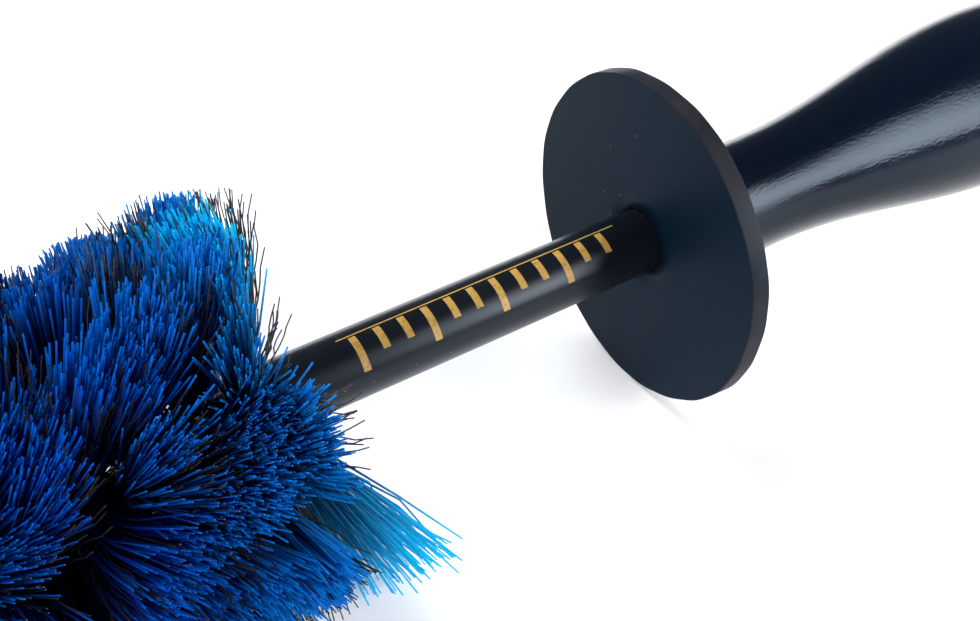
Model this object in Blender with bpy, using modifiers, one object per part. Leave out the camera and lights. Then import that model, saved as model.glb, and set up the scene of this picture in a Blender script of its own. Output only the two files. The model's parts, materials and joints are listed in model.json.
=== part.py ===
"""Wheel brush: a bristle head twisted into a wire core, a sleeved stem, a sliding splash guard and a turned handle.

The brush is modelled upright, with its axis on local Z and the handle's front face at Z = 0: the handle is above it
and the bristle head below. An empty then lays it down on its guard and its bristles, as it rests on a bench.
"""

import math
import random

import bmesh
import bpy
from mathutils import Matrix, Vector

# Driving dimensions, in metres. Heights are along the brush's axis, from the handle's front face.
HANDLE_LENGTH = 0.150
HANDLE_FRONT_RADIUS = 0.0124
HANDLE_FRONT_ROUND = 0.0015
HANDLE_NECK_RADIUS = 0.0113
HANDLE_NECK_HEIGHT = 0.025
HANDLE_SWELL_RADIUS = 0.0191
HANDLE_SWELL_HEIGHT = 0.095
HANDLE_SHOULDER_RADIUS = 0.0161
BUTT_DOME_LENGTH = 0.012
BUTT_FLAT_RADIUS = 0.006

GUARD_RADIUS = 0.0325
GUARD_THICKNESS = 0.0038
GUARD_EDGE_CHAMFER = 0.0003

STEM_EXPOSED_LENGTH = 0.082
SLEEVE_WALL = 0.00132
SLEEVE_SEAT_DEPTH = 0.012
SLEEVE_SETBACK = 0.0024

WIRE_DIAMETER = 0.0034
TWIST_PITCH = 0.0196
TWIST_START = math.radians(33)
HEAD_TURNS = 11
STEM_SEAT_DEPTH = 0.070
BOND_LENGTH = 0.045
BOND_WALL = 0.0010
BOND_FLOOR = 0.002

HEAD_RADIUS = 0.0368
FILAMENT_LAYER = 0.0006
FILAMENT_STRIP_WIDTH = 0.0032
STRAND_ROOT_RADIUS = 0.0002
STRAND_TIP_RADIUS = 0.0016
STRAND_ROOT_DEPTH = 0.0003
STRANDS_PER_TURN = 8
STRANDS_PER_FAN = 4
FAN_LEAN = math.radians(9)
TIP_LEAN = math.radians(40)
TIP_LEAN_LENGTH = 0.032
LOW_EDGE_LEAN = math.radians(18)
HIGH_EDGE_LEAN = math.radians(3)
STEM_LEAN_LENGTH = 0.012
STRAND_JITTER = math.radians(2)
STRAND_TRIM_JITTER = 0.0008
BRISTLE_SINK = 0.0010

CAP_WALL = 0.0016
CAP_SETBACK = 0.006
CAP_GRIP_LENGTH = 0.003
CAP_DOME_LENGTH = 0.004

# Clearances, and the fineness of the mesh
SEAT_GAP = 0.0003
PACK_GAP = 0.0004
MERGE_DISTANCE = 0.00001
TURNED_STEPS = 36
ARC_STEPS = 4
PROFILE_STEPS = 4
WIRE_POINTS_PER_TURN = 8
LOOP_POINTS = 6
STRIP_STEPS_PER_TURN = 12
STRAND_SIDES = 3
RANDOM_SEED = 7

# Sizes that follow from the driving dimensions
PACK_THICKNESS = 2 * FILAMENT_LAYER + 3 * PACK_GAP
WIRE_RADIUS = WIRE_DIAMETER / 2
STRAND_OFFSET = WIRE_RADIUS + PACK_THICKNESS / 2
CORE_RADIUS = STRAND_OFFSET + WIRE_RADIUS
TWIST_SLOPE = math.atan2(2 * math.pi * STRAND_OFFSET, TWIST_PITCH)
WIRE_END_RISE = WIRE_RADIUS * math.sin(TWIST_SLOPE)
LAYER_OFFSET = (FILAMENT_LAYER + PACK_GAP) / 2
SLEEVE_BORE_RADIUS = CORE_RADIUS + SEAT_GAP
SLEEVE_RADIUS = SLEEVE_BORE_RADIUS + SLEEVE_WALL
GUARD_BORE_RADIUS = SLEEVE_RADIUS + SEAT_GAP
GUARD_BACK = -SEAT_GAP
GUARD_FRONT = GUARD_BACK - GUARD_THICKNESS
HEAD_LENGTH = HEAD_TURNS * TWIST_PITCH
HEAD_BACK = GUARD_FRONT - STEM_EXPOSED_LENGTH
HEAD_FRONT = HEAD_BACK - HEAD_LENGTH
SLEEVE_FRONT = HEAD_BACK + SLEEVE_SETBACK
SLEEVE_BACK = SLEEVE_SEAT_DEPTH
BOND_BORE_RADIUS = CORE_RADIUS + SEAT_GAP
BOND_RADIUS = BOND_BORE_RADIUS + BOND_WALL
BOND_INNER_END = STEM_SEAT_DEPTH + WIRE_END_RISE + SEAT_GAP
BOND_BACK = BOND_INNER_END + BOND_FLOOR
BOND_FRONT = BOND_BACK - BOND_LENGTH
STEM_BORE_RADIUS = BOND_RADIUS + SEAT_GAP
STEM_BORE_DEPTH = BOND_BACK + SEAT_GAP
SLEEVE_SEAT_RADIUS = SLEEVE_RADIUS + SEAT_GAP
CAP_BORE_RADIUS = CORE_RADIUS + SEAT_GAP
CAP_RADIUS = CAP_BORE_RADIUS + CAP_WALL
CAP_BACK = HEAD_FRONT - CAP_SETBACK
LOOP_HEIGHT = CAP_BACK - CAP_GRIP_LENGTH
CAP_INNER_END = LOOP_HEIGHT - CORE_RADIUS - SEAT_GAP

# Lying down: the guard's back edge and the bristles nearest the guard carry the brush
REST_TILT = math.atan2(HEAD_RADIUS - BRISTLE_SINK - GUARD_RADIUS, GUARD_BACK - HEAD_BACK)
AXIS_HEIGHT = GUARD_RADIUS * math.cos(REST_TILT) + GUARD_BACK * math.sin(REST_TILT)
FRONT_REACH = HEAD_RADIUS * math.sin(TIP_LEAN)
OVERALL_MIDDLE = (HANDLE_LENGTH + HEAD_FRONT - FRONT_REACH) / 2

BLUE = (0.004, 0.055, 0.42)
BLACK = (0.012, 0.013, 0.016)
AMBER = (0.55, 0.45, 0.25)
STEEL = (0.55, 0.56, 0.58)
GLOSS = 0.15
SATIN = 0.35
MATTE = 0.70


def clear_scene():
    for obj in list(bpy.data.objects):
        bpy.data.objects.remove(obj, do_unlink=True)


def make_collection(name):
    collection = bpy.data.collections.new(name)
    bpy.context.scene.collection.children.link(collection)
    return collection


def make_material(name, colour, roughness, metallic=0.0):
    material = bpy.data.materials.new(name)
    material.use_nodes = True
    shader = material.node_tree.nodes["Principled BSDF"]
    shader.inputs["Base Color"].default_value = (*colour, 1.0)
    shader.inputs["Roughness"].default_value = roughness
    shader.inputs["Metallic"].default_value = metallic
    return material


def place(obj, brush, material):
    """Puts a sub-part into the brush's collection, on the brush's axis."""
    brush["collection"].objects.link(obj)
    obj.parent = brush["axis"]
    obj.data.materials.append(material)
    return obj


def turned(name, profile, brush, material, ring=False):
    """A turned piece from (radius, height) points that run down its outer side. A ring's profile closes on itself."""
    mesh = bpy.data.meshes.new(name)
    edges = [(i, i + 1) for i in range(len(profile) - 1)]
    if ring:
        edges.append((len(profile) - 1, 0))
    mesh.from_pydata([(radius, 0.0, height) for radius, height in profile], edges, [])
    obj = bpy.data.objects.new(name, mesh)
    screw = obj.modifiers.new("Turn", "SCREW")
    screw.steps = screw.render_steps = TURNED_STEPS
    screw.use_merge_vertices = True
    screw.merge_threshold = MERGE_DISTANCE
    screw.use_smooth_shade = True
    return place(obj, brush, material)


def eased(low, high, share):
    """From low to high with a level start and end."""
    return low + (high - low) * (1 - math.cos(math.pi * share)) / 2


def eased_run(start, end, steps):
    """Points after start up to end, both (radius, height), on a curve that is level at its ends."""
    points = []
    for step in range(1, steps + 1):
        share = step / steps
        height = start[1] + (end[1] - start[1]) * share
        points.append((eased(start[0], end[0], share), height))
    return points


def quarter_round(centre, radius, rise, begin, steps=ARC_STEPS):
    """A quarter of an ellipse about a (radius, height) centre, from the angle begin on, turning clockwise."""
    points = []
    for step in range(steps + 1):
        angle = begin - math.pi / 2 * step / steps
        points.append((centre[0] + radius * math.cos(angle), centre[1] + rise * math.sin(angle)))
    return points


def handle_profile():
    """Butt dome, swell, neck and front face on the outside, then the seats for the sleeve and the stem."""
    shoulder_height = HANDLE_LENGTH - BUTT_DOME_LENGTH
    dome = quarter_round(
        (BUTT_FLAT_RADIUS, shoulder_height),
        HANDLE_SHOULDER_RADIUS - BUTT_FLAT_RADIUS,
        BUTT_DOME_LENGTH,
        math.pi / 2,
    )
    swell = (HANDLE_SWELL_RADIUS, HANDLE_SWELL_HEIGHT)
    neck = (HANDLE_NECK_RADIUS, HANDLE_NECK_HEIGHT)
    front = (HANDLE_FRONT_RADIUS, HANDLE_FRONT_ROUND)
    front_round = quarter_round(
        (HANDLE_FRONT_RADIUS - HANDLE_FRONT_ROUND, HANDLE_FRONT_ROUND),
        HANDLE_FRONT_ROUND,
        HANDLE_FRONT_ROUND,
        0.0,
    )
    profile = [(0.0, HANDLE_LENGTH)] + dome
    profile += eased_run(dome[-1], swell, PROFILE_STEPS)
    profile += eased_run(swell, neck, 2 * PROFILE_STEPS)
    profile += eased_run(neck, front, PROFILE_STEPS)[:-1]
    profile += front_round
    profile += [
        (SLEEVE_SEAT_RADIUS, 0.0),
        (SLEEVE_SEAT_RADIUS, SLEEVE_SEAT_DEPTH + SEAT_GAP),
        (STEM_BORE_RADIUS, SLEEVE_SEAT_DEPTH + SEAT_GAP),
        (STEM_BORE_RADIUS, STEM_BORE_DEPTH),
        (0.0, STEM_BORE_DEPTH),
    ]
    return profile


def build_handle(brush):
    return turned("handle", handle_profile(), brush, make_material("black_lacquer", BLACK, GLOSS))


def build_guard(brush):
    """A flat rubber disc that slides along the sleeve, parked against the handle's front face."""
    chamfer = GUARD_EDGE_CHAMFER
    profile = [
        (GUARD_RADIUS - chamfer, GUARD_BACK),
        (GUARD_RADIUS, GUARD_BACK - chamfer),
        (GUARD_RADIUS, GUARD_FRONT + chamfer),
        (GUARD_RADIUS - chamfer, GUARD_FRONT),
        (GUARD_BORE_RADIUS, GUARD_FRONT),
        (GUARD_BORE_RADIUS, GUARD_BACK),
    ]
    return turned("splash_guard", profile, brush, make_material("black_rubber", BLACK, MATTE), ring=True)


def build_sleeve(brush):
    """The vinyl tube over the stem, from the last bristles into the handle's seat."""
    profile = [
        (SLEEVE_RADIUS, SLEEVE_BACK),
        (SLEEVE_RADIUS, SLEEVE_FRONT),
        (SLEEVE_BORE_RADIUS, SLEEVE_FRONT),
        (SLEEVE_BORE_RADIUS, SLEEVE_BACK),
    ]
    return turned("stem_sleeve", profile, brush, make_material("black_vinyl", BLACK, SATIN), ring=True)


def build_bond(brush):
    """The set adhesive, a cup round the stem's end that fills the handle's bore."""
    profile = [
        (0.0, BOND_BACK),
        (BOND_RADIUS, BOND_BACK),
        (BOND_RADIUS, BOND_FRONT),
        (BOND_BORE_RADIUS, BOND_FRONT),
        (BOND_BORE_RADIUS, BOND_INNER_END),
        (0.0, BOND_INNER_END),
    ]
    return turned("stem_bond", profile, brush, make_material("clear_adhesive", AMBER, SATIN))


def build_cap(brush):
    """The soft cap over the wire's looped end, so that no metal meets the wheel."""
    dome = quarter_round((0.0, CAP_INNER_END), CAP_RADIUS, CAP_DOME_LENGTH, 0.0)
    profile = [
        (0.0, CAP_INNER_END),
        (CAP_BORE_RADIUS, CAP_INNER_END),
        (CAP_BORE_RADIUS, CAP_BACK),
        (CAP_RADIUS, CAP_BACK),
    ]
    profile += dome[:-1]
    profile.append((0.0, CAP_INNER_END - CAP_DOME_LENGTH))
    return turned("tip_cap", profile, brush, make_material("soft_cap", BLACK, MATTE))


def twist_angle(height):
    """The bearing of the first wire strand about the axis at a height; the twist is left-handed."""
    return TWIST_START - 2 * math.pi * (height - HEAD_BACK) / TWIST_PITCH


def on_core(height, bearing, radius):
    return Vector((radius * math.cos(bearing), radius * math.sin(bearing), height))


def core_path():
    """One wire, doubled at the tip: up one strand from the handle to the loop, and back along the other."""
    length = STEM_SEAT_DEPTH - LOOP_HEIGHT
    steps = math.ceil(length / TWIST_PITCH * WIRE_POINTS_PER_TURN)
    heights = [STEM_SEAT_DEPTH - length * step / steps for step in range(steps + 1)]
    outward = [on_core(height, twist_angle(height), STRAND_OFFSET) for height in heights]
    back = [on_core(height, twist_angle(height) + math.pi, STRAND_OFFSET) for height in reversed(heights)]
    side = on_core(0.0, twist_angle(LOOP_HEIGHT), STRAND_OFFSET)
    loop = []
    for step in range(1, LOOP_POINTS):
        angle = math.pi * step / LOOP_POINTS
        loop.append(side * math.cos(angle) + Vector((0.0, 0.0, LOOP_HEIGHT - STRAND_OFFSET * math.sin(angle))))
    gap = min((a - b).length for a in outward for b in back) - WIRE_DIAMETER
    print(f"core wire: least gap between its strands {gap * 1000:.2f} mm")
    return outward + loop + back


def build_core(brush):
    points = core_path()
    curve = bpy.data.curves.new("core_wire", "CURVE")
    curve.dimensions = "3D"
    curve.bevel_depth = WIRE_RADIUS
    curve.bevel_resolution = 1
    curve.use_fill_caps = True
    spline = curve.splines.new("POLY")
    spline.points.add(len(points) - 1)
    for point, place_at in zip(spline.points, points):
        point.co = (*place_at, 1.0)
    obj = bpy.data.objects.new("core_wire", curve)
    return place(obj, brush, make_material("steel_wire", STEEL, SATIN, 1.0))


def mesh_of(obj):
    """The object's evaluated mesh, as a new mesh."""
    bpy.context.view_layer.update()
    graph = bpy.context.evaluated_depsgraph_get()
    return bpy.data.meshes.new_from_object(obj.evaluated_get(graph))


def filament_strip(name, low, high, offset, brush):
    """The band of filaments that the two wire strands pinch, between two heights: a helicoid with a thickness."""
    bearing = twist_angle(low)
    across = Vector((-math.sin(bearing), math.cos(bearing), 0.0))
    aside = Vector((math.cos(bearing), math.sin(bearing), 0.0)) * offset
    half = across * FILAMENT_STRIP_WIDTH / 2
    start = Vector((0.0, 0.0, low))
    mesh = bpy.data.meshes.new(name)
    mesh.from_pydata([start + aside + half * share for share in (-1, 0, 1)], [(0, 1), (1, 2)], [])
    obj = bpy.data.objects.new(name, mesh)
    brush["cutters"].objects.link(obj)
    screw = obj.modifiers.new("Twist", "SCREW")
    screw.angle = twist_angle(high) - bearing
    screw.screw_offset = high - low
    screw.steps = screw.render_steps = math.ceil(STRIP_STEPS_PER_TURN * (high - low) / TWIST_PITCH)
    screw.use_merge_vertices = False
    wall = obj.modifiers.new("Layer", "SOLIDIFY")
    wall.thickness = FILAMENT_LAYER
    wall.offset = 0.0
    strip = mesh_of(obj)
    bpy.data.objects.remove(obj, do_unlink=True)
    return strip


def strand_lean(height, side, fan):
    """How far a strand leans along the axis: forwards at the tip, backwards over the sleeve's end at the stem, where
    the edge of the strip that starts on the brush's low side leans more than the other. In between, the strands sway
    to and fro, so that their tips fill the space between the strip's turns."""
    to_front = max(0.0, 1 - (height - HEAD_FRONT) / TIP_LEAN_LENGTH)
    to_back = max(0.0, 1 - (HEAD_BACK - height) / STEM_LEAN_LENGTH)
    stem_lean = LOW_EDGE_LEAN if side < 0 else HIGH_EDGE_LEAN
    fan_lean = fan * FAN_LEAN * (1 - to_front) * (1 - to_back)
    return stem_lean * to_back - TIP_LEAN * to_front + fan_lean


def floor_limit(root, direction):
    """The length at which a strand from root meets the bench that the brush lies on."""
    down = math.cos(REST_TILT) * direction.x + math.sin(REST_TILT) * direction.z
    if down <= 0:
        return math.inf
    above = AXIS_HEIGHT - math.cos(REST_TILT) * root.x - math.sin(REST_TILT) * root.z
    return (above - STRAND_TIP_RADIUS * math.sqrt(1 - down * down)) / down


def add_strand(shape, height, side, fan, offset, chance):
    """One strand of the head: a thin prism from inside its strip out to the trimmed envelope."""
    bearing = twist_angle(height) + side * math.pi / 2
    root = on_core(height, bearing, FILAMENT_STRIP_WIDTH / 2 - STRAND_ROOT_DEPTH)
    root += on_core(0.0, twist_angle(height), offset)
    bearing += chance.uniform(-STRAND_JITTER, STRAND_JITTER)
    lean = strand_lean(height, side, fan) + chance.uniform(-STRAND_JITTER, STRAND_JITTER)
    direction = Vector(
        (math.cos(lean) * math.cos(bearing), math.cos(lean) * math.sin(bearing), math.sin(lean))
    )
    length = HEAD_RADIUS - math.hypot(root.x, root.y) - chance.uniform(0, STRAND_TRIM_JITTER)
    length = min(length, floor_limit(root, direction))
    turn = direction.to_track_quat("Z", "Y").to_matrix().to_4x4()
    bmesh.ops.create_cone(
        shape,
        cap_ends=True,
        segments=STRAND_SIDES,
        radius1=STRAND_ROOT_RADIUS,
        radius2=STRAND_TIP_RADIUS,
        depth=length,
        matrix=Matrix.Translation(root + direction * length / 2) @ turn,
    )


def build_bristles(name, turn, layer, brush, material):
    """One colour's filaments over one turn of the twist: its strip, with strands out of both edges."""
    high = HEAD_BACK - turn * TWIST_PITCH
    low = high - TWIST_PITCH + SEAT_GAP
    chance = random.Random(RANDOM_SEED + turn + layer * HEAD_TURNS)
    offset = layer * LAYER_OFFSET
    shape = bmesh.new()
    for step in range(STRANDS_PER_TURN):
        height = low + (high - low) * (step + (2 + layer) / 4) / STRANDS_PER_TURN
        fan = math.sin(2 * math.pi * step / STRANDS_PER_FAN)
        for side in (-1, 1):
            add_strand(shape, height, side, fan, offset, chance)
    strands_mesh = bpy.data.meshes.new(name + "_strands")
    shape.to_mesh(strands_mesh)
    shape.free()
    strands = bpy.data.objects.new(name + "_strands", strands_mesh)
    brush["cutters"].objects.link(strands)
    strands.hide_render = True
    strands.display_type = "WIRE"
    obj = bpy.data.objects.new(name, filament_strip(name, low, high, offset, brush))
    strands.parent = brush["axis"]
    place(obj, brush, material)
    union = obj.modifiers.new("Strands", "BOOLEAN")
    union.operation = "UNION"
    union.object = strands
    return obj


def build_head(brush):
    colours = (
        ("blue_bristles", 1, make_material("blue_filament", BLUE, SATIN)),
        ("black_bristles", -1, make_material("black_filament", BLACK, SATIN)),
    )
    for name, layer, material in colours:
        for turn in range(HEAD_TURNS):
            build_bristles(f"{name}_{turn + 1}", turn, layer, brush, material)


def main():
    clear_scene()
    brush = {"collection": make_collection("wheel_brush"), "cutters": make_collection("cutters")}
    axis = bpy.data.objects.new("brush_axis", None)
    brush["collection"].objects.link(axis)
    axis.rotation_euler = (0.0, math.pi / 2 + REST_TILT, 0.0)
    axis.location = (-OVERALL_MIDDLE * math.cos(REST_TILT), 0.0, AXIS_HEIGHT)
    brush["axis"] = axis
    build_handle(brush)
    build_guard(brush)
    build_sleeve(brush)
    build_bond(brush)
    build_core(brush)
    build_cap(brush)
    build_head(brush)


main()
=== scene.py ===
"""Dresses the wheel brush: lacquered handle, rubber splash guard, vinyl sleeve and a head of filaments.

Every piece is built upright on the brush's own axis (local Z, from the handle's front face towards the
butt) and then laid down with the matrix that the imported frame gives.
"""

import json
import math
from math import radians

import bmesh
import bpy
from bpy.props import FloatProperty, FloatVectorProperty, IntProperty, PointerProperty
from mathutils import Matrix, Vector


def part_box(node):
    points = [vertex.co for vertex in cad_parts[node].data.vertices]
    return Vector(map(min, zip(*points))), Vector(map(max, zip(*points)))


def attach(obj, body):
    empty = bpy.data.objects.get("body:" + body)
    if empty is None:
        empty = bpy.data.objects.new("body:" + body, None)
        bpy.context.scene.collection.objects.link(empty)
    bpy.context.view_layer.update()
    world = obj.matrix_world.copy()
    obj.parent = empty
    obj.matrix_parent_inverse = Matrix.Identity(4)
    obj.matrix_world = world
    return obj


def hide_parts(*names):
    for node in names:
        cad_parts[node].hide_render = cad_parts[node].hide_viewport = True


bl_info = {
    "name": "Wheel Brush",
    "version": (1, 0, 0),
    "blender": (4, 5, 0),
    "location": "View3D > Sidebar > Wheel Brush",
    "description": "Builds the looks of a twisted-wire wheel brush over its packed frame",
    "category": "Object",
}

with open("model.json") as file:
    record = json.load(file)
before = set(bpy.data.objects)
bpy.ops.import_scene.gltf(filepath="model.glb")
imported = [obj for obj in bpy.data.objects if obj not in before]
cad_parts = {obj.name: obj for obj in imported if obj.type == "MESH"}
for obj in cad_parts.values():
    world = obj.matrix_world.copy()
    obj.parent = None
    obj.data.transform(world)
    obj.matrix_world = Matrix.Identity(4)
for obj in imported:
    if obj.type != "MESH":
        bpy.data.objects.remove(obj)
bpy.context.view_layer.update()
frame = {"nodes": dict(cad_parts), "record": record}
BUTT = frame["record"]["mounts"][0]
HEAD_TURNS = sum(1 for node in frame["nodes"] if node.startswith("blue_bristles_"))

# The brush's own directions and places along its axis, in metres
HANDLE_LENGTH = 0.150
AXIS = Vector(BUTT["axis"]).normalized()
ACROSS = Vector((0.0, 1.0, 0.0))
BELOW = ACROSS.cross(AXIS)
FRONT_FACE = Vector(BUTT["pos_m"]) - AXIS * HANDLE_LENGTH
LAY_DOWN = Matrix((BELOW, ACROSS, AXIS)).transposed().to_4x4()
LAY_DOWN.translation = FRONT_FACE
DIP = math.atan2(-AXIS.z, AXIS.x)
CLEARANCE = 0.0003
GUARD_THICKNESS = 0.0038
STEM_LENGTH = 0.082
GUARD_BACK = -CLEARANCE
GUARD_FRONT = GUARD_BACK - GUARD_THICKNESS
HEAD_BACK = GUARD_FRONT - STEM_LENGTH

# Handle
FRONT_RADIUS = 0.0124
FRONT_ROUND = 0.0015
NECK_AT = 0.025
SWELL_AT = 0.095
SHOULDER_RADIUS = 0.0161
DOME_LENGTH = 0.012
BUTT_FLAT = 0.006

# Splash guard: shares of its radius, then the waves of its edge and of its sheet as (height, waves, start)
FACE_SHARE = 0.985
RIM_SHARE = 0.010
EDGE_WAVES = ((0.00016, 3, 0.6), (0.00010, 7, 2.0), (0.00005, 23, 0.0))
WARP_WAVE = (0.00014, 2, 0.4)
GUARD_FACING = Vector((0.0125, -0.0511, 0.9986))
GUARD_SHIFT = -0.0004

# Sleeve, and the rounding of a cut edge
SLEEVE_SEAT = 0.012
SLEEVE_SETBACK = 0.0024
SLEEVE_WALL = 0.00132
EDGE_ROUND = 0.0004

# Gold scale on the sleeve: heights in metres, bearings in radians
SCALE_START = 0.017
SCALE_LEAD = 0.002
TICK_COUNT = 12
TICK_SPACING = 0.0048
TICK_WIDTH = 0.0014
LONG_EVERY = 3
LONG_TICK = radians(62)
SHORT_TICK = radians(40)
SCALE_FOOT = radians(179)
TICK_GAP = 0.06
LINE_WIDTH = 0.04
FILM_HALF = 0.00003
FILM_STEP = 0.08

# Cap on the wire's loop
CAP_WALL = 0.0016
CAP_GAP = 0.006
CAP_SKIRT = 0.003
CAP_DOME = 0.004

# Welding distances of turned shapes
SEAM_WELD = 0.00001
POLE_WELD = 0.000005


def half_width(node):
    """Half of a node's extent across the brush, which is its radius."""
    low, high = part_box(node)
    return (high[1] - low[1]) / 2


class WheelBrushSizes(bpy.types.PropertyGroup):
    """Lengths and counts of the brush's pieces"""

    neck_radius: FloatProperty(
        name="Neck radius",
        description="Handle at its narrowest",
        default=0.0113,
        unit="LENGTH",
        precision=4,
    )
    swell_radius: FloatProperty(
        name="Swell radius",
        description="Handle at its thickest",
        default=0.0191,
        unit="LENGTH",
        precision=4,
    )
    guard_radius: FloatProperty(
        name="Guard radius",
        description="Outside of the splash guard",
        default=half_width("splash_guard"),
        unit="LENGTH",
        precision=4,
    )
    sleeve_radius: FloatProperty(
        name="Sleeve radius",
        description="Outside of the vinyl sleeve on the stem",
        default=half_width("stem_sleeve"),
        unit="LENGTH",
        precision=4,
    )
    head_radius: FloatProperty(
        name="Head radius",
        description="From the axis to the trimmed tips of the filaments",
        default=0.0370,
        unit="LENGTH",
        precision=4,
    )
    twist_pitch: FloatProperty(
        name="Twist pitch",
        description="Length of one turn of the wire core",
        default=0.0196,
        unit="LENGTH",
        precision=4,
    )
    blue_count: IntProperty(
        name="Blue filaments", description="Blue filament ends in one turn", default=4800
    )
    blue_thickness: FloatProperty(
        name="Blue thickness",
        description="Diameter of a blue filament",
        default=0.00050,
        unit="LENGTH",
        precision=5,
    )
    black_count: IntProperty(
        name="Black filaments", description="Black filament ends in one turn", default=850
    )
    black_thickness: FloatProperty(
        name="Black thickness",
        description="Diameter of a crimped black filament",
        default=0.00032,
        unit="LENGTH",
        precision=5,
    )
    crimp_length: FloatProperty(
        name="Crimp length",
        description="One wave of a crimped filament",
        default=0.0085,
        unit="LENGTH",
        precision=4,
    )
    crimp_height: FloatProperty(
        name="Crimp height",
        description="How far a crimped filament's wave stands off its line",
        default=0.00035,
        unit="LENGTH",
        precision=5,
    )
    tuft_length: FloatProperty(
        name="Tuft length",
        description="Length of the core whose filaments clump together",
        default=0.0012,
        unit="LENGTH",
        precision=4,
    )
    seed: IntProperty(name="Seed", description="Seed of the filaments' scatter", default=11)


class WheelBrushColours(bpy.types.PropertyGroup):
    """Colours of the brush's finishes"""

    lacquer: FloatVectorProperty(
        name="Lacquer",
        description="Black lacquer of the handle",
        subtype="COLOR",
        default=(0.0008, 0.0022, 0.0060),
    )
    rubber: FloatVectorProperty(
        name="Rubber",
        description="Face of the splash guard",
        subtype="COLOR",
        default=(0.0025, 0.0085, 0.0175),
    )
    rubber_edge: FloatVectorProperty(
        name="Rubber edge",
        description="Cut rim of the guard",
        subtype="COLOR",
        default=(0.022, 0.021, 0.025),
    )
    vinyl: FloatVectorProperty(
        name="Vinyl", description="Sleeve on the stem", subtype="COLOR", default=(0.0055, 0.0070, 0.0105)
    )
    gold: FloatVectorProperty(
        name="Gold", description="Marks on the sleeve", subtype="COLOR", default=(0.52, 0.31, 0.07)
    )
    # Painted shade: the blue at the core is darkened to stand in for the shade deep inside the brush
    blue_root_painted_shade: FloatVectorProperty(
        name="Blue root",
        description="Blue filament at the core",
        subtype="COLOR",
        default=(0.0005, 0.011, 0.17),
    )
    blue_tip: FloatVectorProperty(
        name="Blue tip",
        description="Blue filament at its cut end",
        subtype="COLOR",
        default=(0.0010, 0.048, 0.52),
    )
    # Painted backlight: pale cyan put into the colour of filaments at the stem's end of the head, standing
    # in for light from behind coming through them
    blue_painted_backlight: FloatVectorProperty(
        name="Blue, alone",
        description="A blue filament that stands apart, at the stem's end of the head",
        subtype="COLOR",
        default=(0.030, 0.58, 0.90),
    )
    blue_glow: FloatVectorProperty(
        name="Blue glow",
        description="Light scattered through a blue filament",
        subtype="COLOR",
        default=(0.006, 0.54, 1.0),
    )
    lone_glow: FloatVectorProperty(
        name="Blue glow, alone",
        description="Light scattered through a blue filament that stands apart",
        subtype="COLOR",
        default=(0.03, 0.78, 1.0),
    )
    black: FloatVectorProperty(
        name="Black filament",
        description="Crimped filament",
        subtype="COLOR",
        default=(0.0075, 0.0078, 0.0105),
    )
    floor: FloatVectorProperty(
        name="Floor", description="White floor", subtype="COLOR", default=(0.84, 0.84, 0.85)
    )


class WheelBrushStage(bpy.types.PropertyGroup):
    """Lamps, floor and camera"""

    key_power: FloatProperty(
        name="Key",
        description="Softbox beside the handle, on the camera's side",
        default=2.9,
        unit="POWER",
    )
    front_power: FloatProperty(
        name="Front",
        description="Softbox off the head's tip, on the camera's side",
        default=1.3,
        unit="POWER",
    )
    side_power: FloatProperty(
        name="Side",
        description="Narrow softbox off the handle's butt that reaches the head's stem end",
        default=0.45,
        unit="POWER",
    )
    back_power: FloatProperty(
        name="Back", description="Large softbox behind the brush", default=21.0, unit="POWER"
    )
    floor_lift: FloatProperty(name="Floor lift", description="Light added to the white floor", default=0.1)
    focal_length: FloatProperty(
        name="Focal length", description="Lens in millimetres", default=55.10, unit="CAMERA"
    )


# Mesh helpers


def add_piece(name, mesh, material=None):
    obj = bpy.data.objects.new(name, mesh)
    bpy.context.scene.collection.objects.link(obj)
    if material is not None:
        mesh.materials.clear()
        mesh.materials.append(material)
    return obj


def plain_piece(obj):
    """Turns what an object's modifiers make into its own mesh."""
    graph = bpy.context.evaluated_depsgraph_get()
    mesh = bpy.data.meshes.new_from_object(obj.evaluated_get(graph), depsgraph=graph)
    obj.modifiers.clear()
    obj.data = mesh
    return obj


def settle(obj, body, slot, *nodes):
    """Lets a finished piece ride on a body and hides the solids that it stands for; its slot is not used.
    """
    if not obj.data.polygons:
        raise RuntimeError(f"{obj.name} has no faces")
    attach(obj, body)
    if nodes:
        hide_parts(*nodes)


def turned_mesh(name, profile, ring, steps):
    """A shape turned about the local axis from (radius, height) points; a ring's profile is closed."""
    points = [(radius, 0.0, height) for radius, height in profile]
    edges = [(i, i + 1) for i in range(len(points) - 1)]
    if ring:
        edges.append((len(points) - 1, 0))
    mesh = bpy.data.meshes.new(name)
    mesh.from_pydata(points, edges, [])
    obj = add_piece(name, mesh)
    screw = obj.modifiers.new("Turn", "SCREW")
    screw.steps = screw.render_steps = steps
    screw.use_merge_vertices = True
    screw.merge_threshold = SEAM_WELD
    screw.use_smooth_shade = True
    plain_piece(obj)
    shape = bmesh.new()
    shape.from_mesh(obj.data)
    bmesh.ops.remove_doubles(shape, verts=shape.verts, dist=POLE_WELD)
    bmesh.ops.recalc_face_normals(shape, faces=shape.faces)
    shape.to_mesh(obj.data)
    shape.free()
    return obj


def lay_down(obj):
    obj.data.transform(LAY_DOWN)
    obj.data.update()
    return obj


def rounded(points, radius, steps=5):
    """The same profile with its inner corners rounded off, within a little less than half of each side."""
    room = 0.45
    result = [points[0]]
    for before, corner, after in zip(points, points[1:], points[2:]):
        corner = Vector(corner)
        inward = Vector(before) - corner
        onward = Vector(after) - corner
        reach = min(radius, inward.length * room, onward.length * room)
        start = corner + inward.normalized() * reach
        end = corner + onward.normalized() * reach
        for step in range(steps + 1):
            share = step / steps
            a = start.lerp(corner, share)
            b = corner.lerp(end, share)
            result.append(tuple(a.lerp(b, share)))
    result.append(points[-1])
    return result


def eased(low, high, share):
    return low + (high - low) * (1 - math.cos(math.pi * share)) / 2


# Node helpers


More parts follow.
